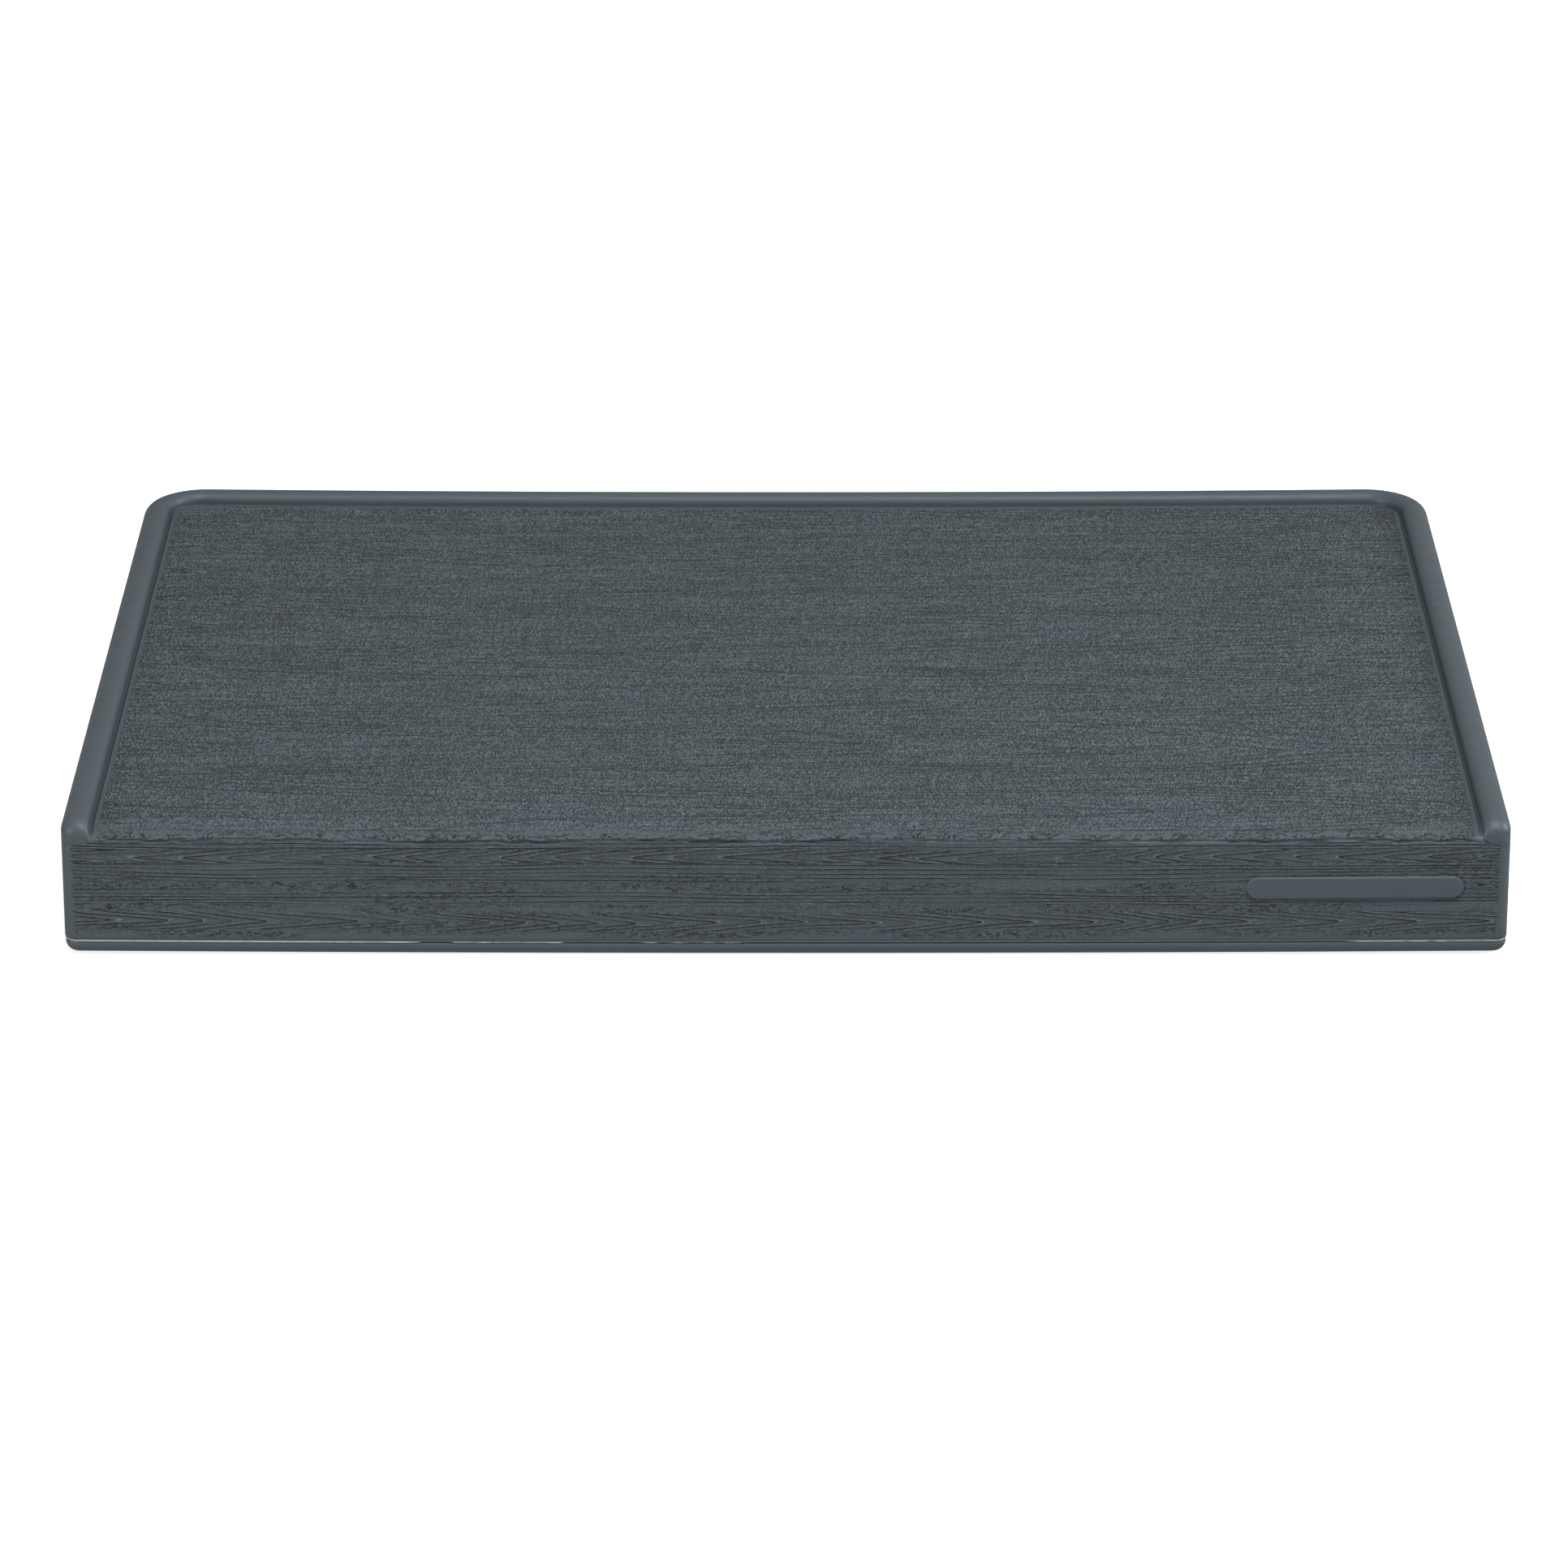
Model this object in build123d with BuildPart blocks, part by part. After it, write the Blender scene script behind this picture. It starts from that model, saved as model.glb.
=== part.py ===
"""Cushioned counter mat with a raised rim on three sides.

A moulded silicone cover is bonded to a silicone base along a seam just above the bottom
edge, and a foam cushion fills the space between them. Millimetres, +Z up, front at -Y,
origin at the middle of the resting surface.
"""

import os

from build123d import *

# Driving dimensions
WIDTH = 210.0  # X, over the rim
DEPTH = 150.0  # Y
HEIGHT = 21.0  # Z, to the top of the rim
RIM_WIDTH = 4.1
RIM_HEIGHT = 1.8  # above the deck
BACK_CORNER_RADIUS = 10.0  # in plan
FRONT_CORNER_RADIUS = 2.6  # in plan
RIM_OUTER_RADIUS = 2.3
RIM_INNER_RADIUS = 1.4
DECK_EDGE_RUN = 5.0  # the deck rolls over into the front face over this much of Y
DECK_EDGE_DROP = 1.5  # and this much of Z
GROOVE_RADIUS = 0.3  # round groove in the deck along the foot of the rim
SKIN = 3.0  # wall of the moulded cover
SEAM_HEIGHT = 2.1  # middle of the seam, above the resting surface
BOND_THICKNESS = 0.2
BASE_INSET = 0.1  # the base stands this far inside the cover all round
BASE_EDGE_RADIUS = 1.5
LIP_WIDTH = 2.0  # upstand of the base, inside the foot of the cover
LIP_HEIGHT = 4.0
CLEARANCE = 0.3  # between the lip and what stands beside it

# Blank raised badge, low on the right of the front face
BADGE_WIDTH = 31.6
BADGE_HEIGHT = 3.4
BADGE_RELIEF = 0.35
BADGE_X = 82.5
BADGE_Z = 10.6

# Non-slip grooves in the underside
TREAD_COUNT = 16  # even, so that a land lies on the middle line
TREAD_PITCH = 8.0
TREAD_LENGTH = 188.0
TREAD_WIDTH = 2.4
TREAD_DEPTH = 0.6

# Worked out from those
DECK = HEIGHT - RIM_HEIGHT
COVER_FOOT = SEAM_HEIGHT + BOND_THICKNESS / 2
BASE_TOP = SEAM_HEIGHT - BOND_THICKNESS / 2
CAVITY_TOP = DECK - SKIN
LIP_INSET = SKIN + CLEARANCE
LIP_TOP = BASE_TOP + LIP_HEIGHT
CORE_FOOT_INSET = LIP_INSET + LIP_WIDTH + CLEARANCE
CORE_SHOULDER = LIP_TOP + CLEARANCE
INNER_X = WIDTH / 2 - RIM_WIDTH  # inner face of the side rims

# Outline of the mat seen from above
with BuildSketch() as plan:
    Rectangle(WIDTH, DEPTH)
    fillet(plan.vertices().group_by(Axis.Y)[-1], BACK_CORNER_RADIUS)
    fillet(plan.vertices().group_by(Axis.Y)[0], FRONT_CORNER_RADIUS)


def edge_waste(run, drop):
    """Draw what a rounded edge loses, with the square corner at 0, 0 and material at +X, -Y."""
    Rectangle(run, drop, align=(Align.MIN, Align.MAX))
    with Locations((run, -drop)):
        Ellipse(run, drop, mode=Mode.SUBTRACT)


def rim_path(inset, height):
    """Draw the line that follows the inner face of the rim, from front right to front left."""
    x = WIDTH / 2 - RIM_WIDTH - inset
    y = DEPTH / 2 - RIM_WIDTH - inset
    FilletPolyline(
        (x, -DEPTH / 2, height),
        (x, y, height),
        (-x, y, height),
        (-x, -DEPTH / 2, height),
        radius=BACK_CORNER_RADIUS - RIM_WIDTH - inset,
    )


# Cover: a deck with a rim at the left, right and back, and a skirt down to the seam
with BuildPart() as cover:
    with BuildSketch(Plane.XY.offset(COVER_FOOT)):
        add(plan.sketch)
    extrude(amount=HEIGHT - COVER_FOOT)
    fillet(cover.faces().sort_by(Axis.Z)[-1].edges(), RIM_OUTER_RADIUS)

    # Deck, sunk below the rim and open at the front
    with BuildSketch(Plane.XY.offset(DECK)):
        add(plan.sketch)
        offset(amount=-RIM_WIDTH)
        with Locations((0, -DEPTH / 2)):
            Rectangle(2 * INNER_X, 4 * RIM_WIDTH)
    extrude(amount=RIM_HEIGHT, mode=Mode.SUBTRACT)

    # Rim's inner edge, rounded along its whole length
    with BuildLine() as inner_edge:
        rim_path(0, HEIGHT)
    with BuildSketch(Plane(inner_edge.line @ 0, x_dir=(1, 0, 0), z_dir=(0, -1, 0))):
        edge_waste(RIM_INNER_RADIUS, RIM_INNER_RADIUS)
    sweep(path=inner_edge.line, mode=Mode.SUBTRACT)

    # Groove along the foot of the rim
    with BuildLine() as foot:
        rim_path(GROOVE_RADIUS, DECK)
    with BuildSketch(Plane(foot.line @ 0, x_dir=(1, 0, 0), z_dir=(0, -1, 0))):
        Circle(GROOVE_RADIUS)
    sweep(path=foot.line, mode=Mode.SUBTRACT)

    # Front edge of the deck, rolled over between the ends of the rim
    with BuildSketch(Plane((-INNER_X, -DEPTH / 2, DECK), x_dir=(0, 1, 0), z_dir=(1, 0, 0))):
        edge_waste(DECK_EDGE_RUN, DECK_EDGE_DROP)
    extrude(amount=2 * INNER_X, mode=Mode.SUBTRACT)

    # Cavity for the cushion, open below
    with BuildSketch(Plane.XY.offset(COVER_FOOT)):
        add(plan.sketch)
        offset(amount=-SKIN)
    extrude(amount=CAVITY_TOP - COVER_FOOT, mode=Mode.SUBTRACT)

    # Blank badge
    with BuildSketch(Plane((0, -DEPTH / 2, 0), x_dir=(1, 0, 0), z_dir=(0, -1, 0))):
        with Locations((BADGE_X, BADGE_Z)):
            SlotOverall(BADGE_WIDTH, BADGE_HEIGHT)
    extrude(amount=BADGE_RELIEF)

# Seam bond: the flat ring of cured adhesive between the cover's foot and the base
with BuildPart() as seam_bond:
    with BuildSketch(Plane.XY.offset(BASE_TOP)):
        add(plan.sketch)
        offset(amount=-SKIN, mode=Mode.SUBTRACT)
    extrude(amount=BOND_THICKNESS)

# Base: the closing tray, with a rounded foot, a locating lip and a non-slip underside
with BuildPart() as base:
    with BuildSketch():
        add(plan.sketch)
        offset(amount=-BASE_INSET)
    extrude(amount=BASE_TOP)
    fillet(base.faces().sort_by(Axis.Z)[0].edges(), BASE_EDGE_RADIUS)
    with BuildSketch(Plane.XY.offset(BASE_TOP)):
        add(plan.sketch)
        offset(amount=-LIP_INSET)
        offset(amount=-LIP_WIDTH, mode=Mode.SUBTRACT)
    extrude(amount=LIP_HEIGHT)
    with BuildSketch():
        with GridLocations(0, TREAD_PITCH, 1, TREAD_COUNT):
            SlotOverall(TREAD_LENGTH, TREAD_WIDTH)
    extrude(amount=TREAD_DEPTH, mode=Mode.SUBTRACT)

# Cushion: one block of foam, rebated at its foot to clear the base's lip
with BuildPart() as cushion:
    with BuildSketch(Plane.XY.offset(BASE_TOP)):
        add(plan.sketch)
        offset(amount=-CORE_FOOT_INSET)
    extrude(amount=CORE_SHOULDER - BASE_TOP)
    with BuildSketch(Plane.XY.offset(CORE_SHOULDER)):
        add(plan.sketch)
        offset(amount=-SKIN)
    extrude(amount=CAVITY_TOP - CORE_SHOULDER)

cover.part.label = "cover"
seam_bond.part.label = "seam_bond"
base.part.label = "base"
cushion.part.label = "cushion"

os.makedirs("parts", exist_ok=True)
export_step(cover.part, "parts/cover.step")
export_step(seam_bond.part, "parts/seam_bond.step")
export_step(base.part, "parts/base.step")
export_step(cushion.part, "parts/cushion.step")
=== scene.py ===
"""Looks of the cushioned counter mat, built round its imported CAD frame.

Four pieces stand for the four CAD nodes: a moulded silicone cover with its wood grain in
relief, the bead of adhesive in the seam, the base with its non-slip underside, and the foam
cushion inside. Shapes are worked out in millimetres, and meshes are written in metres. The
front is at -Y.
"""

import math

import bmesh
import bpy
import numpy as np
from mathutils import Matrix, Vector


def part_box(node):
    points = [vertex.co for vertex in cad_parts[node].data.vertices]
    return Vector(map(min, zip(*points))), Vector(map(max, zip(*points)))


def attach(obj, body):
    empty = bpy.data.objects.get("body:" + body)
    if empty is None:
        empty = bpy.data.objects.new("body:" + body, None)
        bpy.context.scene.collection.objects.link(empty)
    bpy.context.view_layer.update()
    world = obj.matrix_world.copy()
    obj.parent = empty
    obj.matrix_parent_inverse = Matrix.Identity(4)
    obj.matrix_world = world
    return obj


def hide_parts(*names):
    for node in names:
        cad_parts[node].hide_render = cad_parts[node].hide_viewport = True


MM = 0.001

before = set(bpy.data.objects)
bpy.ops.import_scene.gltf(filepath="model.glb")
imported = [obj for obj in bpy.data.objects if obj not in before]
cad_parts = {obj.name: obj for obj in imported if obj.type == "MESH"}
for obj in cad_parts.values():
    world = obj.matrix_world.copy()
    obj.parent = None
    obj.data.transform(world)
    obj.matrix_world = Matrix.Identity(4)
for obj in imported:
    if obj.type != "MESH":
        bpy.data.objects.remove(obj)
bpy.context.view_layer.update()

# Sizes read from the frame
_, cover_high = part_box("cover")
bond_low, bond_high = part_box("seam_bond")
_, cushion_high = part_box("cushion")
HALF_X = bond_high[0] / MM
HALF_Y = bond_high[1] / MM
HEIGHT = cover_high[2] / MM
COVER_FOOT = bond_high[2] / MM
BASE_TOP = bond_low[2] / MM
CAVITY_TOP = cushion_high[2] / MM
SKIN = HALF_X - cushion_high[0] / MM

# Cover
RIM_WIDTH = 4.1
RIM_HEIGHT = 1.8
OUTER_ARC = 2.3  # radius of the rim's outer shoulder
INNER_ARC = 1.4  # radius of its inner shoulder
BACK_RADIUS = 10.0  # plan radius of the back corners
FRONT_RADIUS = 2.2  # plan radius of the front corners
DOME_RUN = 3.4  # the front ends of the rim round down over this much of Y
ROLL_RUN = 5.0  # the deck's front edge rolls over across this much of Y
ROLL_DROP = 1.5
FOOT_GROOVE = 0.3  # radius of the groove along the foot of the rim
FRAME_INSET = 4.9  # inner edge of the smooth frame round the deck
PANEL_INSET = 5.05  # edge of the textured panel on the deck
PILLAR = 1.45  # the same on the front face
FOOT_ROUND = 0.14  # the bottom edge of the cover's wall
CAVITY_ROUND = 1.0
DECK = HEIGHT - RIM_HEIGHT
SHOULDER = HEIGHT - OUTER_ARC
ROLL_FOOT = DECK - ROLL_DROP
PANEL_FOOT = COVER_FOOT + 0.45

# The flexible mat lies with its middle on the table and its corners lifted
DISH_FRONT = 0.37  # lift of the front corners
DISH_BACK = 0.60

# Badge
BADGE_WIDTH = 31.6
BADGE_HEIGHT = 3.4
BADGE_RELIEF = 0.35
BADGE_X = 82.5
BADGE_Z = 10.6

# Base and cushion
BASE_INSET = 0.1
BASE_ROUND = 1.5
CLEARANCE = 0.3  # between the base's lip and what stands beside it
LIP_INSET = SKIN + CLEARANCE
LIP_WIDTH = 2.0
LIP_TOP = BASE_TOP + 4.0
FOAM_LOOSE = 0.15  # between the cushion and the cover
TREAD_COUNT = 16
TREAD_PITCH = 8.0
TREAD_LENGTH = 188.0
TREAD_WIDTH = 2.4
TREAD_DEPTH = 0.6

# Pitch of the mesh along X, and along the section on the front face, the roll and the deck
PITCH_X = 0.45
PITCH_FRONT = 0.14
PITCH_ROLL = 0.24
PITCH_DECK = 0.36
FRONT_ROWS = 13  # rows of the smooth frame on the flat front
ROLL_ROWS = 10  # and on the roll


# --- Fields -------------------------------------------------------------------------------


def smoothstep(low, high, value):
    """0 below low, 1 above high, and a smooth rise between them."""
    t = np.clip((value - low) / (high - low), 0, 1)
    return t * t * (3 - 2 * t)


def window(centre, half, edge, value):
    """1 within half of the centre, falling to 0 over the edge beyond it."""
    return 1 - smoothstep(half, half + edge, np.abs(value - centre))


def noise(u, v, seed):
    """A smooth random field from -1 to 1, with about one feature per unit of u and v."""
    table = np.random.default_rng(seed).uniform(-1, 1, (512, 512))
    iu, iv = np.floor(u).astype(int), np.floor(v).astype(int)
    su, sv = smoothstep(0, 1, u - iu), smoothstep(0, 1, v - iv)
    near = table[iu % 512, iv % 512] * (1 - su) + table[(iu + 1) % 512, iv % 512] * su
    far = table[iu % 512, (iv + 1) % 512] * (1 - su) + table[(iu + 1) % 512, (iv + 1) % 512] * su
    return near * (1 - sv) + far * sv


# --- Surfaces -----------------------------------------------------------------------------


class Surface:
    """Points and faces of one piece, gathered patch by patch."""

    def __init__(self):
        self.points = np.empty((0, 3))
        self.faces = []

    def add(self, points):
        """Adds points, and returns their numbers in the same arrangement."""
        points = np.asarray(points, float)
        first = len(self.points)
        self.points = np.concatenate([self.points, points.reshape(-1, 3)])
        return np.arange(first, len(self.points)).reshape(points.shape[:-1])

    def quads(self, numbers, closed=False):
        """Fills a grid of points. closed joins its last column to its first."""
        if closed:
            numbers = np.concatenate([numbers, numbers[:, :1]], axis=1)
        corners = [numbers[:-1, :-1], numbers[1:, :-1], numbers[1:, 1:], numbers[:-1, 1:]]
        self.faces += np.stack(corners, -1).reshape(-1, 4).tolist()

    def stitch(self, a, b):
        """Fills the strip between two lines of points that run side by side."""
        p, q = self.points[a], self.points[b]
        i = j = 0
        while i < len(a) - 1 or j < len(b) - 1:
            if j == len(b) - 1:
                forward = True
            elif i == len(a) - 1:
                forward = False
            else:
                forward = math.dist(p[i + 1], q[j]) <= math.dist(p[i], q[j + 1])
            if forward:
                self.faces.append([int(a[i]), int(a[i + 1]), int(b[j])])
                i += 1
            else:
                self.faces.append([int(a[i]), int(b[j + 1]), int(b[j])])
                j += 1

    def stitch_loops(self, a, b):
        """Fills the strip between two closed loops that run the same way round."""
        away = np.linalg.norm(self.points[b] - self.points[a[0]], axis=1)
        b = np.roll(b, -int(np.argmin(away)))
        self.stitch(np.append(a, a[0]), np.append(b, b[0]))

    def rings(self, profile):
        """Sweeps a profile of (inset, height) pairs round the outline. Returns the loops."""
        loops = self.add([outline(inset, z) for inset, z in profile])
        self.quads(loops, closed=True)
        return loops

    def cap(self, loop):
        """Closes a flat convex loop."""
        self.faces.append([int(k) for k in loop])

    def make(self, name, body, node):
        """Makes the object, dished, in metres, with every face turned outwards."""
        back = (self.points[:, 1] + HALF_Y) / (2 * HALF_Y)
        lift = DISH_FRONT + (DISH_BACK - DISH_FRONT) * back
        points = self.points.copy()
        points[:, 2] += lift * (points[:, 0] / HALF_X) ** 2
        mesh = bpy.data.meshes.new(name)
        mesh.from_pydata(points * MM, [], self.faces)
        bm = bmesh.new()
        bm.from_mesh(mesh)
        bmesh.ops.recalc_face_normals(bm, faces=bm.faces)
        bm.to_mesh(mesh)
        bm.free()
        mesh.polygons.foreach_set("use_smooth", np.ones(len(mesh.polygons), bool))
        mesh.set_sharp_from_angle(angle=math.radians(50))
        piece = bpy.data.objects.new(name, mesh)
        bpy.context.scene.collection.objects.link(piece)
        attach(piece, body)
        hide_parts(node)
        return piece


def outline(inset, z, pitch=2.5, corner=8):
    """The mat's outline at that inset and height, as a closed loop from the front right."""
    hx, hy = HALF_X - inset, HALF_Y - inset
    front = max(FRONT_RADIUS - inset, 0.3)
    back = max(BACK_RADIUS - inset, 0.3)
    corners = ((1, -1, front, -90), (1, 1, back, 0), (-1, 1, back, 90), (-1, -1, front, 180))
    arcs = []
    for side_x, side_y, radius, start in corners:
        turn = np.radians(start + np.linspace(0, 90, corner + 1))
        x = side_x * (hx - radius) + radius * np.cos(turn)
        y = side_y * (hy - radius) + radius * np.sin(turn)
        arcs.append(np.column_stack([x, y]))
    loop = []
    for k, length in enumerate((2 * HALF_Y, 2 * HALF_X, 2 * HALF_Y, 2 * HALF_X)):
        steps = np.linspace(0, 1, round(length / pitch) + 1)[1:-1, None]
        loop.append(arcs[k])
        loop.append(arcs[k][-1] * (1 - steps) + arcs[(k + 1) % 4][0] * steps)
    loop = np.concatenate(loop)
    return np.column_stack([loop, np.full(len(loop), z)])


def quarter(centre, radius, start, stop, count=6):
    """Points (inset, height) on an arc round the centre, between two angles in degrees."""
    turn = np.radians(np.linspace(start, stop, count))
    return list(zip(centre[0] + radius * np.cos(turn), centre[1] + radius * np.sin(turn)))


# --- Section of the front and the deck ----------------------------------------------------

roll_turn = np.linspace(0, math.pi / 2, 400)
roll_y = -HALF_Y + ROLL_RUN * (1 - np.cos(roll_turn))
roll_z = ROLL_FOOT + ROLL_DROP * np.sin(roll_turn)
roll_way = np.append(0, np.cumsum(np.hypot(np.diff(roll_y), np.diff(roll_z))))
ROLL_TOP = ROLL_FOOT + roll_way[-1]  # where the flat deck begins, measured along the section
PANEL_BACK = ROLL_TOP + 2 * HALF_Y - ROLL_RUN - PANEL_INSET


def section(s):
    """The point (y, z) and the outward normal (y, z) at the distance s along the section.

    s is the height on the front face. It goes on over the roll and back along the deck.
    """
    turn = np.interp(s - ROLL_FOOT, roll_way, roll_turn)
    y = -HALF_Y + ROLL_RUN * (1 - np.cos(turn)) + np.maximum(s - ROLL_TOP, 0)
    z = np.minimum(s, ROLL_FOOT) + ROLL_DROP * np.sin(turn)
    ny, nz = -np.cos(turn) / ROLL_RUN, np.sin(turn) / ROLL_DROP
    size = np.hypot(ny, nz)
    return y, z, ny / size, nz / size


def side_inset(z, deck_inset, front_inset):
    """How far in from the side an edge lies. It widens just below the deck's front edge."""
    up = smoothstep(ROLL_FOOT - 1.1, ROLL_FOOT + 0.1, z)
    return front_inset + (deck_inset - front_inset) * up


# --- Grain --------------------------------------------------------------------------------

# Bands of the front face: height of the middle, half of the width, and the way its arches
# point. A band with no arches has straight lines.
FRONT_BANDS = ((17.0, 0.55, 0), (15.3, 0.95, -1), (12.9, 1.25, 0), (9.1, 0.95, 0), (5.3, 1.25, 1))
BAND_FADE = 0.32  # a band's lines die out across this much
BAND_REACH = 0.36  # and are worked out this far beyond the band
ARCH_PITCH = 0.56  # between the lines of an arch, across the grain
ARCH_RUN = 6.0  # between the tips of the arches, along the grain
ARCH_BLUNT = 0.015  # rounds the tips
LINE_PITCH = 0.60  # between straight lines
FIGURE_FOLD = 13  # the deck's figure folds back on itself after this much
FIGURE_PITCH = 1.5  # between its lines, across the grain
FIGURE_RUN = 13  # between the tips of its folds, along the grain
FIGURE_BLUNT = 0.002
EDGE = ROLL_FOOT + 0.25  # where the wavy line under the front edge of the deck runs
GROOVE_HALF = 0.15  # half the width of a groove in the mesh, on the front
GROOVE_WIDER = 0.19  # and how much is added to that on the deck
GROOVE_DEPTH = 0.05
EDGE_DEPTH = 0.2  # depth of the wavy line


def front_grain(x, s):
    """Growth-ring count, strength of the lines and strength of the chips on the front."""
    sway = 0.22 * noise(x / 30, s / 5, 11) + 0.07 * noise(x / 8, s / 2.5, 12)
    v = s + sway
    phase, lines = np.zeros_like(x), np.zeros_like(x)
    for k, (middle, half, point) in enumerate(FRONT_BANDS):
        here = window(middle, half, BAND_FADE, v + 0.12 * noise(x / 5, s, 20 + k))
        if point:
            across = np.sqrt((v - middle) ** 2 + ARCH_BLUNT)
            ring = point * across / ARCH_PITCH + x / ARCH_RUN + noise(x / 15, s / 4, 30 + k)
        else:
            ring = (v - middle) / LINE_PITCH + 0.6 * noise(x / 26, s / 1.6, 30 + k)
        chosen = np.abs(v - middle) < half + BAND_REACH
        phase = np.where(chosen, ring + 10 * k, phase)  # 10 apart, to tell the bands' rings apart
        lines = np.where(chosen, here, lines)
    lines = lines * (0.6 + 0.4 * smoothstep(-0.5, 0.3, noise(x / 9, np.round(phase), 40)))
    rough = (1 - lines) * smoothstep(-0.7, 0.3, noise(x / 11, s / 1.4, 41))
    rough = np.maximum(rough, 0.75 * smoothstep(0.25, 0.75, noise(x / 14, s / 1.1, 42)))
    return phase, lines, rough


def deck_grain(x, s):
    """The same on the deck."""
    v = s + 1.5 * noise(x / 55, s / 17, 51) + 0.35 * noise(x / 17, s / 6, 52)
    turn = v / FIGURE_FOLD
    fold = np.abs(turn - 2 * np.round(turn / 2))
    fold = np.sqrt(fold**2 + FIGURE_BLUNT) - np.sqrt((1 - fold) ** 2 + FIGURE_BLUNT)
    phase = fold * FIGURE_FOLD / 2 / FIGURE_PITCH + x / FIGURE_RUN
    phase = phase + 1.3 * noise(x / 40, v / FIGURE_FOLD, 53) + 0.3 * noise(x / 11, v / 4, 54)
    strong = noise(x / 24, np.round(phase) * 0.77, 55) + 0.35 * noise(x / 30, v / 9, 56)
    lines = 0.3 + 0.7 * smoothstep(-0.05, 0.6, strong)
    rough = 0.5 + 0.5 * smoothstep(-0.4, 0.5, noise(x / 16, v / 2.2, 57))
    return phase, lines, rough


def grain(x, s, reach):
    """Everything about the relief at x across and s along the panel, which reaches so far out."""
    on_deck = smoothstep(ROLL_FOOT + 2.2, ROLL_FOOT + 2.5, s)
    phase_f, lines_f, rough_f = front_grain(x, s)
    phase_d, lines_d, rough_d = deck_grain(x, s)
    phase = np.where(on_deck > 0.5, phase_d, phase_f)

    # Chips are short strokes, about as long as they are apart, and coarser along the front edge
    chips_f = noise(x / 0.95, s / 0.34, 61) + 0.3 * noise(x / 0.5, s / 0.22, 62)
    chips_d = noise(x / 0.8, s / 0.85, 63) + 0.3 * noise(x / 0.5, s / 0.5, 64)
    coarse = window(EDGE + 0.8, 0.7, 0.2, s)
    chips_f = chips_f * (1 - coarse) + noise(x / 0.75, s / 0.42, 70) * coarse
    chips = np.where(on_deck > 0.5, chips_d, chips_f)

    # The edge between the front and the deck is broken by chips, above a wavy line
    level = 0 * s
    wave = EDGE + 0.13 * noise(x / 1.5, level, 65) + 0.30 * noise(x / 9, level, 67)
    edge = window(wave, 0.10, 0.16, s) * (0.7 + 0.3 * noise(x / 4, level, 68))
    torn = window(wave + 0.75, 0.50, 0.3, s) * smoothstep(-1.2, -0.2, noise(x / 5, level, 69))
    rough_f = np.maximum(rough_f * (1 - window(wave + 0.1, 0.3, 0.2, s)), 1.1 * torn)
    lines_f = lines_f * (1 - window(wave, 0.3, 0.2, s))

    # Smooth margins, with a ragged side on the front
    away = reach - np.abs(x)
    comb = 0.25 * noise(level, s / 0.3, 66)
    margin = smoothstep(0.02, 0.35, away + np.where(on_deck > 0.5, 0, comb))
    margin = margin * smoothstep(0, 0.35, s - PANEL_FOOT) * smoothstep(0.1, 1.3, PANEL_BACK - s)
    edge = edge * smoothstep(0, 1.5, away)

    # The relief is fainter on the roll, and at the back left corner
    onto_roll = smoothstep(ROLL_FOOT + 1.0, ROLL_FOOT + 1.8, s)
    off_roll = smoothstep(ROLL_TOP - 1.0, ROLL_TOP + 2.5, s)
    quiet = 1 - 0.15 * (onto_roll * (1 - off_roll))
    from_corner = np.hypot(x + HALF_X - 6, s - PANEL_BACK)
    quiet = quiet * (0.25 + 0.75 * smoothstep(2.0, 8.0, from_corner))
    lines = (lines_f * (1 - on_deck) + lines_d * on_deck) * margin * quiet
    rough = (rough_f * (1 - on_deck) + 0.06 * rough_d * on_deck) * margin * quiet
    grit = (0.12 + 0.88 * smoothstep(ROLL_FOOT + 0.9, ROLL_FOOT + 4.5, s)) * margin * quiet
    return phase, lines, chips, rough, edge, grit, on_deck


def relief(phase, slope, lines, chips, rough, edge, on_deck):
    """Height of the surface above the plain one, in millimetres."""
    off_line = np.abs(phase - np.round(phase)) / slope
    half = GROOVE_HALF + GROOVE_WIDER * on_deck
    groove = (1 - smoothstep(0, 1, off_line / half)) * lines
    stroke = (1 - smoothstep(0.04, 0.36, np.abs(chips))) * rough
    return -GROOVE_DEPTH * np.maximum(groove, stroke) - EDGE_DEPTH * edge


# --- Cover --------------------------------------------------------------------------------


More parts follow.
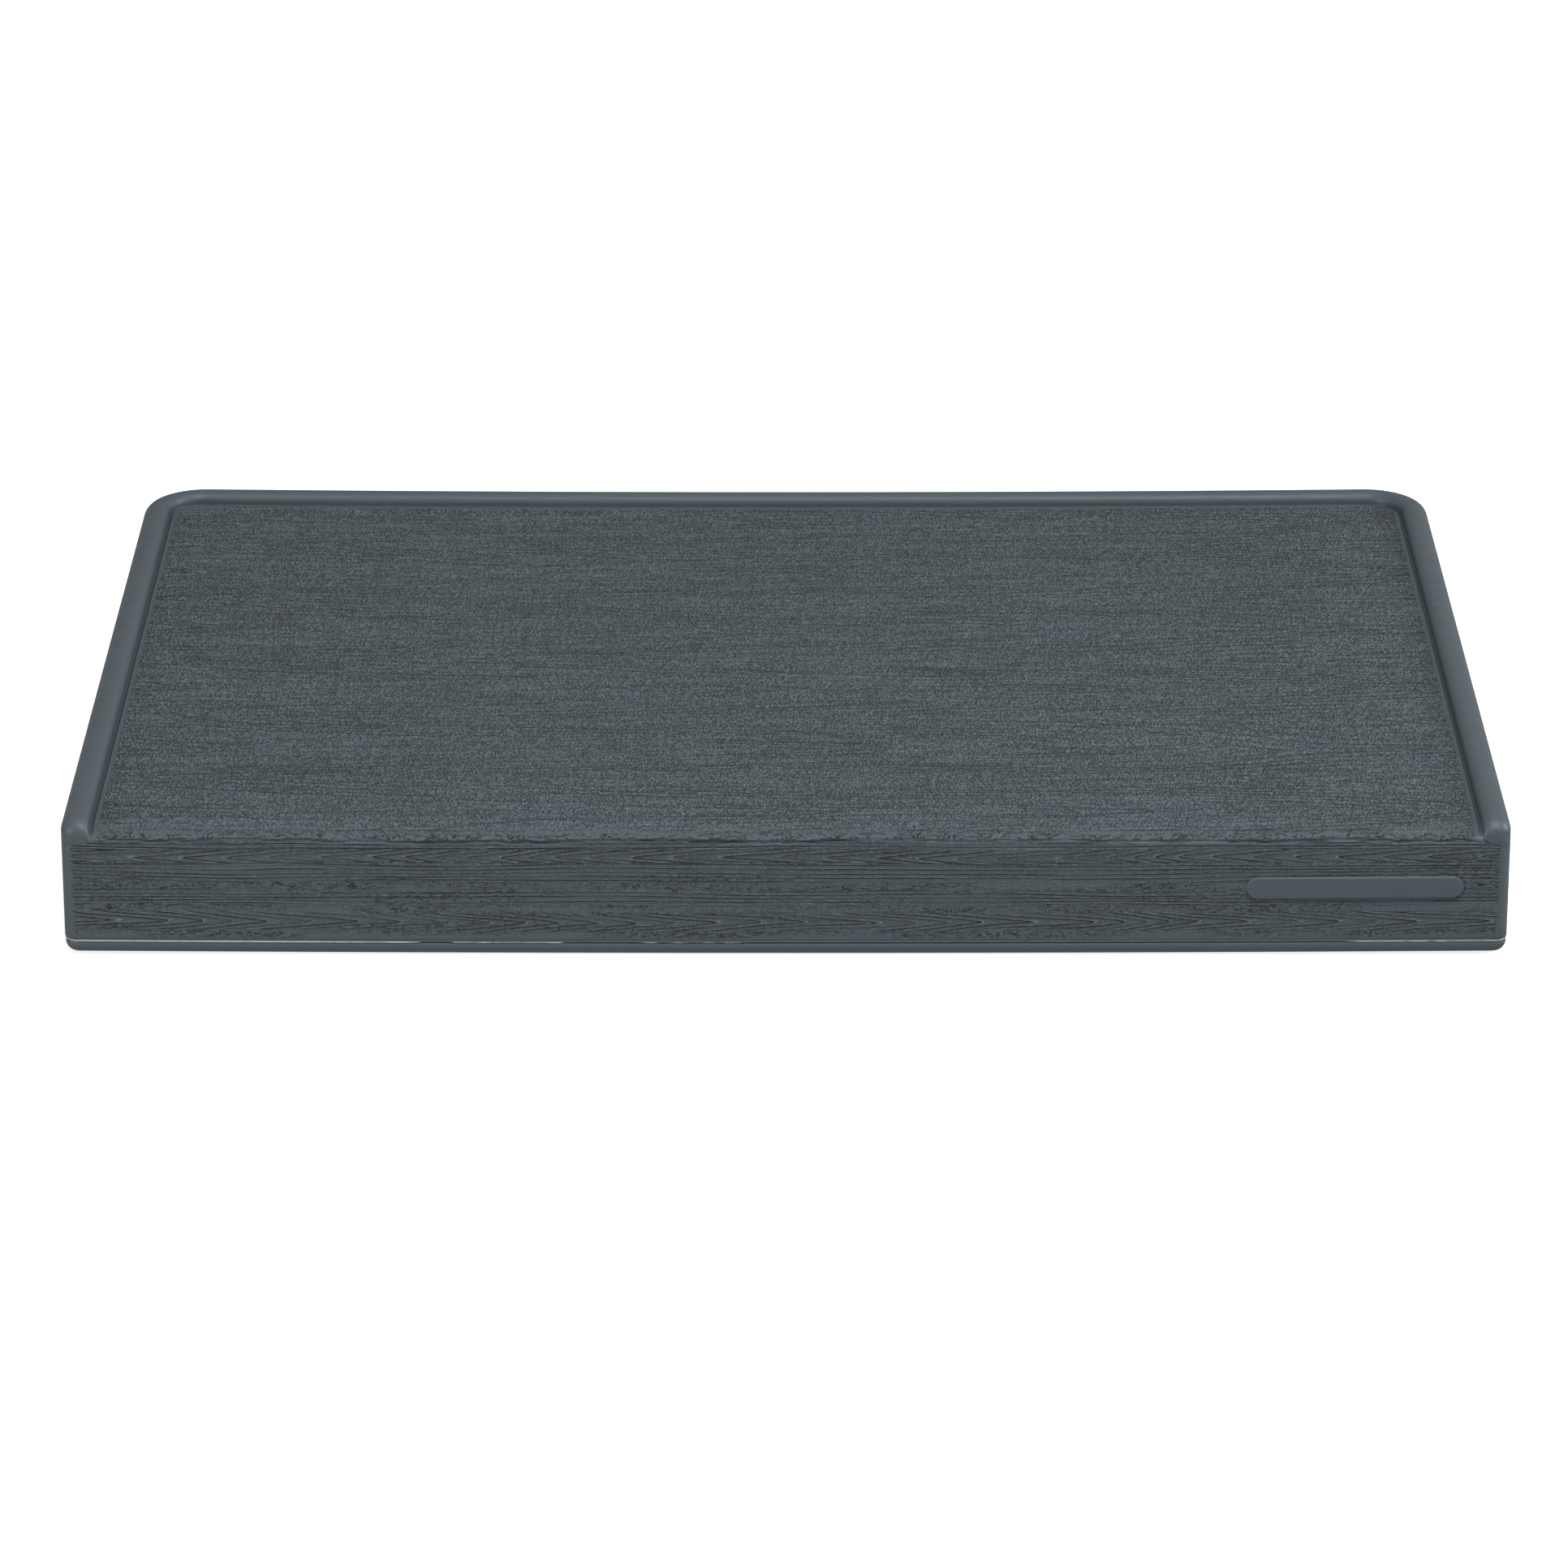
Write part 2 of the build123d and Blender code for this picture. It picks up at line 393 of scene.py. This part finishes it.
def make_panel(cover):
    """Adds the textured panel, deck and front in one. Returns its point numbers and fields."""
    fall = np.linspace(0, 1, 22)
    corner = BACK_RADIUS - PANEL_INSET
    s = np.concatenate(
        [
            np.arange(PANEL_FOOT, ROLL_FOOT, PITCH_FRONT),
            np.arange(ROLL_FOOT, ROLL_TOP, PITCH_ROLL),
            np.arange(ROLL_TOP, PANEL_BACK - corner, PITCH_DECK),
            PANEL_BACK - corner + corner * np.sin(fall * math.pi / 2),
        ]
    )
    y, z, ny, nz = section(s)
    inset = side_inset(z, PANEL_INSET, PILLAR)
    reach = HALF_X - inset
    into_corner = np.clip(s - (PANEL_BACK - corner), 0, corner)
    reach = reach - corner + np.sqrt(np.maximum(corner**2 - into_corner**2, 0))
    across = np.linspace(-1, 1, round(2 * HALF_X / PITCH_X))
    x = reach[:, None] * across[None, :]
    s_grid = np.repeat(s[:, None], len(across), axis=1)
    reach_grid = np.repeat(reach[:, None], len(across), axis=1)
    phase, lines, chips, rough, edge, grit, on_deck = grain(x, s_grid, reach_grid)
    step_s = np.gradient(s)[:, None]
    step_x = (reach * (across[1] - across[0]))[:, None]
    wrap = np.gradient(phase, axis=0) / step_s
    drift = np.gradient(phase, axis=1) / step_x
    slope = np.clip(np.hypot(wrap, drift), 0.4, 3.0)
    height = relief(phase, slope, lines, chips, rough, edge, on_deck)
    points = np.stack([x, y[:, None] + ny[:, None] * height, z[:, None] + nz[:, None] * height], -1)
    numbers = cover.add(points)
    cover.quads(numbers)
    fields = {"phase": phase, "slope": slope, "lines": lines, "chips": chips}
    fields |= {"rough": rough, "edge": edge, "grit": grit}
    return numbers, fields


def frame_profile():
    """(inset, height) across the smooth frame, from the deck over the rim to its shoulder."""
    groove = quarter((RIM_WIDTH + FOOT_GROOVE, DECK), FOOT_GROOVE, 0, -180, 7)
    inner = quarter((RIM_WIDTH - INNER_ARC, HEIGHT - INNER_ARC), INNER_ARC, 0, 90, 8)
    outer = quarter((OUTER_ARC, SHOULDER), OUTER_ARC, 90, 180, 10)
    return np.array([(FRAME_INSET, DECK)] + groove + inner + outer)


def make_frame(cover):
    """Adds the smooth frame: the rim, its domed ends and the pillars below them.

    Returns its point numbers, and how far each point lies in the crease at the rim's foot, which
    the material darkens as a painted shade.
    """
    profile = frame_profile()
    inset, height = profile[:, 0], profile[:, 1]
    on_rim = np.clip((height - DECK) / RIM_HEIGHT, 0, 1)
    inner_side = inset > OUTER_ARC
    rise = np.where(inner_side, on_rim, 1)  # 0 on the deck, 1 from the rim's top outwards
    brow = ROLL_FOOT + (SHOULDER - ROLL_FOOT) * rise  # top of the flat front
    run = ROLL_RUN + (DOME_RUN - ROLL_RUN) * rise
    sunk = np.minimum(height - DECK, 0)  # depth of the groove

    def front_y(gap):
        inside = np.clip(FRONT_RADIUS - gap, 0, FRONT_RADIUS)
        return -HALF_Y + FRONT_RADIUS - np.sqrt(FRONT_RADIUS**2 - inside**2)

    rows = []
    foot = COVER_FOOT + FOOT_ROUND
    for share in np.linspace(1, 0, FRONT_ROWS + 1)[:-1] ** 1.8:
        z = brow + (foot - brow) * share
        gap = inset * side_inset(np.minimum(z, ROLL_FOOT), PANEL_INSET, PILLAR) / PANEL_INSET
        rows.append(np.column_stack([gap - HALF_X, front_y(gap), z]))
    roll = np.radians(np.linspace(90, 0, ROLL_ROWS))
    for turn in roll:
        y = front_y(inset) + (run + (-HALF_Y - front_y(inset))) * (1 - math.sin(turn))
        z = height - sunk * math.sin(turn) - (height - sunk - brow) * (1 - math.cos(turn))
        rows.append(np.column_stack([inset - HALF_X, y, z]))
    side = np.linspace(-HALF_Y + ROLL_RUN + 1.5, HALF_Y - BACK_RADIUS, 54)
    for y in side:
        rows.append(np.column_stack([inset - HALF_X, np.full_like(inset, y), height]))
    for turn in np.radians(np.linspace(180, 90, 16)[1:]):
        far = BACK_RADIUS - inset
        x = -HALF_X + BACK_RADIUS + far * math.cos(turn)
        y = HALF_Y - BACK_RADIUS + far * math.sin(turn)
        rows.append(np.column_stack([x, y, height]))
    left = np.array(rows)
    right = left[::-1] * (-1, 1, 1)
    middle = []
    for x in np.linspace(-HALF_X + BACK_RADIUS, HALF_X - BACK_RADIUS, 78)[1:-1]:
        middle.append(np.column_stack([np.full_like(inset, x), HALF_Y - inset, height]))
    numbers = cover.add(np.concatenate([left, np.array(middle), right]))
    cover.quads(numbers)

    # The painted shade of the crease dies out towards the front, and at the edge of the panel
    crease_shade = 1 - smoothstep(DECK - 0.1, DECK + 0.9, height)
    crease_shade[0] = 0
    ending = np.append(np.zeros(FRONT_ROWS), np.cos(roll))
    along = np.ones(len(numbers))
    along[: len(ending)] = ending
    along[-len(ending) :] = ending[::-1]
    return numbers, along[:, None] * crease_shade[None, :]


def make_cover():
    """Makes the cover, and stores its fields on the mesh for the material."""
    cover = Surface()
    panel, fields = make_panel(cover)
    rim, crease_shade = make_frame(cover)

    # Outer wall, between the shoulder and the two lines where it meets the front
    shoulder = rim[FRONT_ROWS:-FRONT_ROWS, -1]
    left_line, right_line = rim[FRONT_ROWS::-1, -1], rim[-FRONT_ROWS - 1 :, -1]
    levels = cover.points[left_line, 2]
    inner = np.repeat(cover.points[shoulder[1:-1]][None], len(levels) - 1, axis=0)
    inner[:, :, 2] = levels[1:, None]
    wall = np.concatenate([left_line[1:, None], cover.add(inner), right_line[1:, None]], axis=1)
    wall = np.concatenate([shoulder[None], wall])
    cover.quads(wall)

    # Foot of the front, then the strip round the panel
    start, stop = cover.points[rim[0, 0]], cover.points[rim[-1, 0]]
    steps = np.linspace(0, 1, 90)[1:-1, None]
    foot = cover.add(start * (1 - steps) + stop * steps)
    foot = np.concatenate([rim[:1, 0], foot, rim[-1:, 0]])
    cover.stitch(panel[0], foot)
    cover.stitch(np.concatenate([panel[:-1, 0], panel[-1], panel[-2::-1, -1]]), rim[:, 0])

    # Underside of the wall, and the cavity
    loop = np.concatenate([foot[:-1], rim[-1, :-1], wall[-1, ::-1], rim[0, -2:0:-1]])
    round_foot = quarter((FOOT_ROUND, COVER_FOOT + FOOT_ROUND), FOOT_ROUND, 225, 270, 3)
    ceiling = (SKIN + CAVITY_ROUND, CAVITY_TOP - CAVITY_ROUND)
    cavity = [(SKIN, COVER_FOOT), (SKIN, 9.0)] + quarter(ceiling, CAVITY_ROUND, 180, 90, 5)
    under = cover.rings(round_foot + cavity)
    cover.stitch_loops(loop, under[0])
    cover.cap(under[-1])
    add_badge(cover)
    piece = cover.make("cover_moulding", "root", "cover")
    fields["crease_shade"] = crease_shade
    for name, values in fields.items():
        where = rim if name == "crease_shade" else panel
        everywhere = np.zeros(len(cover.points))
        everywhere[where.ravel()] = values.ravel()
        attribute = piece.data.attributes.new(name, "FLOAT", "POINT")
        attribute.data.foreach_set("value", everywhere)
    return piece


def add_badge(cover):
    """Adds the blank badge: a stadium with a rounded edge, sunk into the front."""
    edge = [(0.0, -0.5), (0.0, 0.12), (0.04, 0.24), (0.14, 0.33)]
    edge += [(0.3, BADGE_RELIEF), (0.8, BADGE_RELIEF)]
    reach = BADGE_WIDTH / 2 - BADGE_HEIGHT / 2
    turn = np.linspace(-math.pi / 2, math.pi / 2, 17)
    rows = []
    for shrink, out in edge:
        radius = BADGE_HEIGHT / 2 - shrink
        right = np.column_stack([reach + radius * np.cos(turn), radius * np.sin(turn)])
        flat = np.linspace(reach, -reach, 14)[1:-1]
        top = np.column_stack([flat, np.full_like(flat, radius)])
        loop = np.concatenate([right, top, -right, -top])
        x, z = BADGE_X + loop[:, 0], BADGE_Z + loop[:, 1]
        rows.append(np.column_stack([x, np.full_like(x, -HALF_Y - out), z]))
    loops = cover.add(rows)
    cover.quads(loops, closed=True)
    cover.cap(loops[0])
    cover.cap(loops[-1])


# --- Seam, base and cushion ---------------------------------------------------------------

# Stretches of the front where adhesive stands out of the seam: from X, to X, how pale
FLASH = ((-105, -54, 1.0), (-48, -33, 0.7), (-21, -19, 0.6), (-17, -7, 0.5), (82, 105, 0.75))


def make_seam():
    """Makes the bead, which bulges where adhesive stands out, and stores how pale it is."""
    seam = Surface()
    pitch = 0.7
    base = outline(0, 0, pitch)
    x, y = base[:, 0], base[:, 1]
    way = np.append(0, np.cumsum(np.hypot(np.diff(x), np.diff(y))))
    flash = smoothstep(0.0, 0.5, noise(way / 32, 0 * way, 71))
    front = y < -HALF_Y + 1.5
    along = sum(strength * window((a + b) / 2, (b - a) / 2, 1.5, x) for a, b, strength in FLASH)
    flash = np.where(front, along, flash) * (0.85 + 0.15 * noise(way / 1.7, 0 * way, 72))
    gap = COVER_FOOT - BASE_TOP
    middle = (COVER_FOOT + BASE_TOP) / 2
    rows = []
    for angle in np.linspace(-90, 90, 7):
        bulge = math.cos(math.radians(angle))
        inset = 0.16 - (0.08 + 0.14 * flash) * bulge
        z = middle + gap / 2 * math.sin(math.radians(angle))
        rows.append(np.column_stack([outline_at(inset, pitch), np.full(len(x), z)]))
    for z in (COVER_FOOT, BASE_TOP):
        rows.append(np.column_stack([outline_at(np.full(len(x), SKIN), pitch), np.full(len(x), z)]))
    loops = seam.add(rows)
    seam.quads(np.concatenate([loops, loops[:1]]), closed=True)
    piece = seam.make("seam_bead", "root", "seam_bond")
    everywhere = np.tile(flash, len(rows))
    piece.data.attributes.new("flash", "FLOAT", "POINT").data.foreach_set("value", everywhere)
    return piece


def outline_at(inset, pitch):
    """The outline with its own inset at each point."""
    plain, inner = outline(0, 0, pitch)[:, :2], outline(1, 0, pitch)[:, :2]
    way = inner - plain
    deep = np.hypot(way[:, 0], way[:, 1])[:, None]
    return plain + way / np.maximum(deep, 0.9) * np.asarray(inset)[:, None]


def make_base():
    """Makes the base: its tray, its lip, its rounded skirt and its grooved sole."""
    base = Surface()
    skirt = [(BASE_INSET + 0.1, BASE_TOP), (BASE_INSET, BASE_TOP - 0.1)]
    skirt += quarter((BASE_INSET + BASE_ROUND, BASE_ROUND), BASE_ROUND, 180, 270, 9)
    lip = [(LIP_INSET + 0.2, LIP_TOP), (LIP_INSET, LIP_TOP - 0.3), (LIP_INSET, BASE_TOP)]
    inner = LIP_INSET + LIP_WIDTH
    tray = [(inner, BASE_TOP), (inner, LIP_TOP - 0.3), (inner - 0.2, LIP_TOP)]
    loops = base.rings(tray + lip + skirt)
    base.cap(loops[0])

    # Underside, with its grooves
    edge = np.array((-0.5, -0.44, -0.38, 0.38, 0.44, 0.5)) * TREAD_WIDTH
    depth = np.array((0, 0.2, 1, 1, 0.2, 0)) * TREAD_DEPTH
    middles = (np.arange(TREAD_COUNT) - (TREAD_COUNT - 1) / 2) * TREAD_PITCH
    y = np.concatenate([m + edge for m in middles])
    deep = np.tile(depth, TREAD_COUNT)
    end = TREAD_LENGTH / 2
    between = np.linspace(-end + 1.2, end - 1.2, 46)
    x = np.concatenate([(-end, -end + 0.15, -end + 0.3), between, (end - 0.3, end - 0.15, end)])
    z = deep[:, None] * smoothstep(0, 0.3, end - np.abs(x))[None, :]
    sole = base.add(np.stack(np.broadcast_arrays(x[None, :], y[:, None], z), -1))
    base.quads(sole)
    rim = np.concatenate([sole[0, :-1], sole[:-1, -1], sole[-1, :0:-1], sole[:0:-1, 0]])
    base.stitch_loops(loops[-1], rim)
    return base.make("base_tray", "root", "base")


def make_cushion():
    """Makes the foam block, rebated at its foot, with soft edges and slightly hollow sides."""
    foam = Surface()
    side = SKIN + FOAM_LOOSE
    foot_inset = LIP_INSET + LIP_WIDTH + CLEARANCE
    shoulder = LIP_TOP + CLEARANCE
    profile = quarter((foot_inset + 0.8, BASE_TOP + 0.85), 0.8, 270, 180, 5)
    profile += [(foot_inset, shoulder - 0.2)]
    profile += quarter((side + 1.2, shoulder + 1.2), 1.2, 250, 180, 5)
    for t in np.linspace(0.1, 0.9, 7):
        profile.append((side + 0.35 * math.sin(t * math.pi), shoulder + 1.4 + 7.0 * t))
    profile += quarter((side + 1.6, CAVITY_TOP - 1.7), 1.6, 180, 90, 7)
    loops = foam.rings(profile)
    foam.cap(loops[0])
    foam.cap(loops[-1])
    piece = foam.make("foam_cushion", "root", "cushion")
    return piece


# --- Materials ----------------------------------------------------------------------------


class Shader:
    """A node material, with short ways to add its nodes."""

    def __init__(self, name):
        self.material = bpy.data.materials.new(name)
        self.material.use_nodes = True
        self.tree = self.material.node_tree
        self.surface = self.tree.nodes["Principled BSDF"]

    def node(self, kind, **settings):
        made = self.tree.nodes.new(kind)
        for key, value in settings.items():
            setattr(made, key, value)
        return made

    def feed(self, socket, value):
        if isinstance(value, bpy.types.NodeSocket):
            self.tree.links.new(value, socket)
        else:
            socket.default_value = value

    def math(self, operation, *values):
        made = self.node("ShaderNodeMath", operation=operation)
        for socket, value in zip(made.inputs, values):
            self.feed(socket, value)
        return made.outputs[0]

    def attribute(self, name):
        return self.node("ShaderNodeAttribute", attribute_name=name).outputs["Fac"]

    def place(self, scale):
        """Object coordinates, scaled to the sizes of the features in millimetres."""
        where = self.node("ShaderNodeTexCoord").outputs["Object"]
        mapping = self.node("ShaderNodeMapping")
        self.feed(mapping.inputs["Vector"], where)
        mapping.inputs["Scale"].default_value = [1 / (size * MM) for size in scale]
        return mapping.outputs[0]

    def noise(self, scale, detail):
        made = self.node("ShaderNodeTexNoise")
        self.feed(made.inputs["Vector"], self.place(scale))
        made.inputs["Scale"].default_value = 1
        made.inputs["Detail"].default_value = detail
        made.inputs["Roughness"].default_value = 0.5
        return made.outputs["Fac"]

    def rise(self, value, low, high, start=0.0, stop=1.0):
        """Maps low to start and high to stop, smoothly."""
        made = self.node("ShaderNodeMapRange", interpolation_type="SMOOTHSTEP")
        for socket, given in zip(made.inputs, (value, low, high, start, stop)):
            self.feed(socket, given)
        return made.outputs[0]

    def mix(self, share, first, second):
        made = self.node("ShaderNodeMix", data_type="RGBA")
        self.feed(made.inputs["Factor"], share)
        self.feed(made.inputs[6], first)
        self.feed(made.inputs[7], second)
        return made.outputs[2]

    def bump(self, height, distance):
        """Bumps the surface by the height times the distance, which is in millimetres."""
        made = self.node("ShaderNodeBump")
        made.inputs["Strength"].default_value = 1.0
        made.inputs["Distance"].default_value = distance * MM
        self.feed(made.inputs["Height"], height)
        return made.outputs[0]

    def finish(self, piece, colour, roughness, normal, specular=0.5):
        self.feed(self.surface.inputs["Base Color"], colour)
        self.feed(self.surface.inputs["Roughness"], roughness)
        self.feed(self.surface.inputs["Normal"], normal)
        self.surface.inputs["Specular IOR Level"].default_value = specular
        piece.data.materials.append(self.material)


SLATE = (0.072, 0.092, 0.106, 1)
SLATE_GREEN = (0.073, 0.093, 0.104, 1)
SLATE_BLUE = (0.072, 0.092, 0.107, 1)
# Painted shade and painted highlight, laid over the silicone's own colour in grooves, the crease,
# the seam and on raised lips
SLATE_PAINTED_SHADE = (0.015, 0.020, 0.025, 1)
SLATE_PAINTED_HIGHLIGHT = (0.155, 0.190, 0.207, 1)
ADHESIVE = (0.46, 0.49, 0.47, 1)
FOAM_DARK = (0.030, 0.032, 0.034, 1)
FOAM_LIGHT = (0.075, 0.078, 0.080, 1)
CHIP_HALF = 0.2  # half the width of a chip, in the chips field
GRIT_MIDDLE = 0.76  # about what the grit's two noises add up to on average


def slate(shader):
    """The moulded silicone's colour, with faint green and blue clouds."""
    cloud = shader.rise(shader.noise((26, 9, 6), 3), 0.35, 0.65)
    return shader.mix(cloud, SLATE_BLUE, SLATE_GREEN)


def paint_cover(piece):
    """Draws the grooves that the mesh carries again, sharply, from the same fields.

    The dots and the fibre hardly change with height, so the dish draws no contours in them.
    """
    shader = Shader("cover_silicone")
    lines, rough = shader.attribute("lines"), shader.attribute("rough")
    wobble = shader.noise((1.1, 1.1, 0.5), 2)
    fleck = shader.noise((0.24, 0.42, 0.17), 1)
    dots = shader.noise((0.25, 0.46, 3.0), 0)
    fibre = shader.noise((9.0, 0.60, 3.0), 1)

    # Distance from the nearest growth ring, and from the nearest chip, in groove half-widths
    count = shader.math("FRACT", shader.math("ADD", shader.attribute("phase"), 0.5))
    nearest = shader.math("ABSOLUTE", shader.math("SUBTRACT", count, 0.5))
    slope = shader.math("MAXIMUM", shader.attribute("slope"), 0.1)
    off_line = shader.math("DIVIDE", nearest, slope)
    off_line = shader.math("DIVIDE", off_line, shader.rise(wobble, 0.3, 0.7, 0.09, 0.16))
    chips = shader.math("ADD", shader.attribute("chips"), shader.rise(fleck, 0.3, 0.7, -0.2, 0.2))
    off_chip = shader.math("DIVIDE", shader.math("ABSOLUTE", chips), CHIP_HALF)

    # What is carved, and the raised lips beside it
    groove = shader.math("MULTIPLY", shader.rise(off_line, 0.3, 1.1, 1.0, 0.0), lines)
    broken = shader.math("MULTIPLY", rough, shader.rise(wobble, 0.36, 0.5))
    stroke = shader.math("MULTIPLY", shader.rise(off_chip, 0.3, 1.1, 1.0, 0.0), broken)
    carved = shader.math("MAXIMUM", groove, stroke)
    carved = shader.math("MAXIMUM", carved, shader.attribute("edge"))
    line_lip = shader.math("MULTIPLY", shader.rise(off_line, 2.2, 1.3), lines)
    chip_lip = shader.math("MULTIPLY", shader.rise(off_chip, 2.4, 1.4), broken)
    lip = shader.math("MAXIMUM", line_lip, chip_lip)
    lip = shader.math("MULTIPLY", lip, shader.math("SUBTRACT", 1.0, carved))

    # Fine speckle, above and below the surface
    grit = shader.math("ADD", dots, shader.math("MULTIPLY", fibre, 0.5))
    grit = shader.math("SUBTRACT", grit, GRIT_MIDDLE)
    grit = shader.math("MULTIPLY", grit, shader.attribute("grit"))

    skin = shader.noise((0.16, 0.16, 0.16), 2)
    height = shader.math("MULTIPLY", carved, -1.0)
    height = shader.math("ADD", height, shader.math("MULTIPLY", lip, 0.75))
    height = shader.math("ADD", height, shader.math("MULTIPLY", grit, 2.4))
    height = shader.math("ADD", height, shader.math("MULTIPLY", skin, 0.07))

    # Painted highlight and painted shade: what stands up is painted pale, and what lies low is
    # painted dark
    # The crease at the rim's foot is painted dark, a painted shade
    crease_shade = shader.math("MULTIPLY", shader.attribute("crease_shade"), 0.42)
    # The raised lips beside the grooves and chips are painted pale, a painted highlight
    colour = shader.mix(shader.math("MULTIPLY", lip, 0.8), slate(shader), SLATE_PAINTED_HIGHLIGHT)
    # Grit that stands up is painted pale, a painted highlight, and grit that lies low is painted
    # dark, a painted shade
    colour = shader.mix(shader.rise(grit, -0.03, 0.22, 0.0, 0.62), colour, SLATE_PAINTED_HIGHLIGHT)
    colour = shader.mix(shader.rise(grit, 0.03, -0.22, 0.0, 0.68), colour, SLATE_PAINTED_SHADE)
    # The grooves, the chips and the wavy line under the front edge are painted dark, a painted
    # shade
    colour = shader.mix(shader.math("MULTIPLY", carved, 0.9), colour, SLATE_PAINTED_SHADE)
    colour = shader.mix(crease_shade, colour, SLATE_PAINTED_SHADE)

    # The panel is duller than the smooth frame
    dull = shader.math("MAXIMUM", shader.math("MAXIMUM", lines, rough), shader.attribute("grit"))
    dull = shader.math("ADD", dull, shader.noise((3, 3, 3), 2))
    roughness = shader.rise(dull, 0.3, 1.2, 0.42, 0.75)
    shader.finish(piece, colour, roughness, shader.bump(height, 0.26), 0.4)


def paint_base(piece):
    shader = Shader("base_silicone")
    skin = shader.noise((0.2, 0.2, 0.2), 3)
    patches = shader.rise(shader.noise((4, 4, 4), 3), 0.3, 0.7, 0, 0.25)
    mottled = shader.mix(patches, slate(shader), SLATE)
    shader.finish(piece, mottled, shader.rise(skin, 0.3, 0.7, 0.46, 0.6), shader.bump(skin, 0.02))


def paint_seam(piece):
    shader = Shader("seam_adhesive")
    flash = shader.attribute("flash")
    patchy = shader.rise(shader.noise((1.4, 1.4, 1.4), 3), 0.35, 0.65, -0.1, 0.1)
    # Where the bead lies sunk in the seam it is painted near black, a painted shade; where adhesive
    # stands out it is pale
    pale = shader.rise(shader.math("ADD", flash, patchy), 0.25, 0.95)
    colour = shader.mix(pale, SLATE_PAINTED_SHADE, ADHESIVE)
    skin = shader.noise((0.3, 0.3, 0.3), 2)
    shader.finish(piece, colour, shader.rise(skin, 0.3, 0.7, 0.3, 0.45), shader.bump(skin, 0.03))


def paint_cushion(piece):
    shader = Shader("cushion_foam")
    cells = shader.node("ShaderNodeTexVoronoi", feature="SMOOTH_F1")
    shader.feed(cells.inputs["Vector"], shader.place((0.8, 0.8, 0.8)))
    cells.inputs["Scale"].default_value = 1
    cell = cells.outputs["Distance"]
    colour = shader.mix(shader.rise(cell, 0.1, 0.7), FOAM_DARK, FOAM_LIGHT)
    roughness = shader.rise(cell, 0.1, 0.7, 0.95, 0.75)
    shader.finish(piece, colour, roughness, shader.bump(cell, 0.35), 0.2)


# --- Stage, in metres and watts -----------------------------------------------------------

FLOOR_HALF = 4.95
FLOOR_DROP = 0.1 * MM  # keeps the floor from coinciding with the sole
ROOM_RADIUS = 7.5
PAPER_GLOW = 0.75
PAPER_DARK = (0.80, 0.80, 0.80, 1)
PAPER_LIGHT = (0.84, 0.84, 0.84, 1)
ROOM_LIGHT = 0.27
TABLE_LIGHT = 0.42  # comes back up from the white table


def make_stage():
    """A white floor in a white room, which the mat neither mirrors nor takes light from."""
    bm = bmesh.new()
    bmesh.ops.create_grid(bm, x_segments=8, y_segments=8, size=FLOOR_HALF)
    bmesh.ops.create_uvsphere(bm, u_segments=48, v_segments=24, radius=ROOM_RADIUS)
    mesh = bpy.data.meshes.new("studio_floor")
    bm.to_mesh(mesh)
    bm.free()
    floor = bpy.data.objects.new("studio_floor", mesh)
    bpy.context.scene.collection.objects.link(floor)
    shader = Shader("studio_floor")
    paper = shader.noise((3, 3, 3), 3)
    colour = shader.mix(paper, PAPER_DARK, PAPER_LIGHT)
    shader.finish(floor, colour, 0.85, shader.bump(paper, 0.02), 0.0)
    shader.surface.inputs["Emission Color"].default_value = (1, 1, 1, 1)
    shader.surface.inputs["Emission Strength"].default_value = PAPER_GLOW
    floor.location.z = -FLOOR_DROP
    floor.visible_diffuse = False
    floor.visible_glossy = False
    floor.visible_shadow = False


def add_light(name, place, size, watts):
    """Adds a square white light, turned towards the mat."""
    data = bpy.data.lights.new(name, "AREA")
    data.shape = "SQUARE"
    data.size = size
    data.energy = watts
    lamp = bpy.data.objects.new(name, data)
    lamp.location = place
    x, y, z = place
    lamp.rotation_euler = (math.atan2(math.hypot(x, y), z), 0, math.atan2(y, x) + math.pi / 2)
    bpy.context.scene.collection.objects.link(lamp)


def light_studio():
    """Lights the room evenly from above, more from below, and adds the three lights."""
    world = bpy.data.worlds.new("studio")
    world.use_nodes = True
    tree = world.node_tree
    where = tree.nodes.new("ShaderNodeTexCoord")
    split = tree.nodes.new("ShaderNodeSeparateXYZ")
    bounce = tree.nodes.new("ShaderNodeMapRange")
    bounce.inputs["From Min"].default_value = 0.05
    bounce.inputs["From Max"].default_value = -0.3
    bounce.inputs["To Min"].default_value = ROOM_LIGHT
    bounce.inputs["To Max"].default_value = TABLE_LIGHT
    tree.links.new(where.outputs["Generated"], split.inputs[0])
    tree.links.new(split.outputs["Z"], bounce.inputs["Value"])
    tree.links.new(bounce.outputs[0], tree.nodes["Background"].inputs["Strength"])
    tree.nodes["Background"].inputs["Color"].default_value = (1, 1, 1, 1)
    bpy.context.scene.world = world
    add_light("key", (0.2, -0.42, 0.78), 0.5, 5.8)
    add_light("right", (1.1, 0.0, 0.45), 0.5, 7.5)
    add_light("left", (-0.85, -0.75, 0.2), 0.4, 4.8)


def add_camera():
    """Adds a long lens in front, which looks down by 21 degrees."""
    data = bpy.data.cameras.new("camera")
    data.sensor_width = 36.0
    data.lens = 156.2
    data.clip_end = 20
    camera = bpy.data.objects.new("camera", data)
    camera.location = (-0.00027, -0.98884, 0.38191)
    camera.rotation_euler = (math.radians(90 - 21.225), 0, 0)
    bpy.context.scene.collection.objects.link(camera)
    bpy.context.scene.camera = camera


paint_cover(make_cover())
paint_seam(make_seam())
paint_base(make_base())
paint_cushion(make_cushion())
make_stage()
light_studio()
add_camera()
bpy.context.scene.view_settings.view_transform = "Standard"
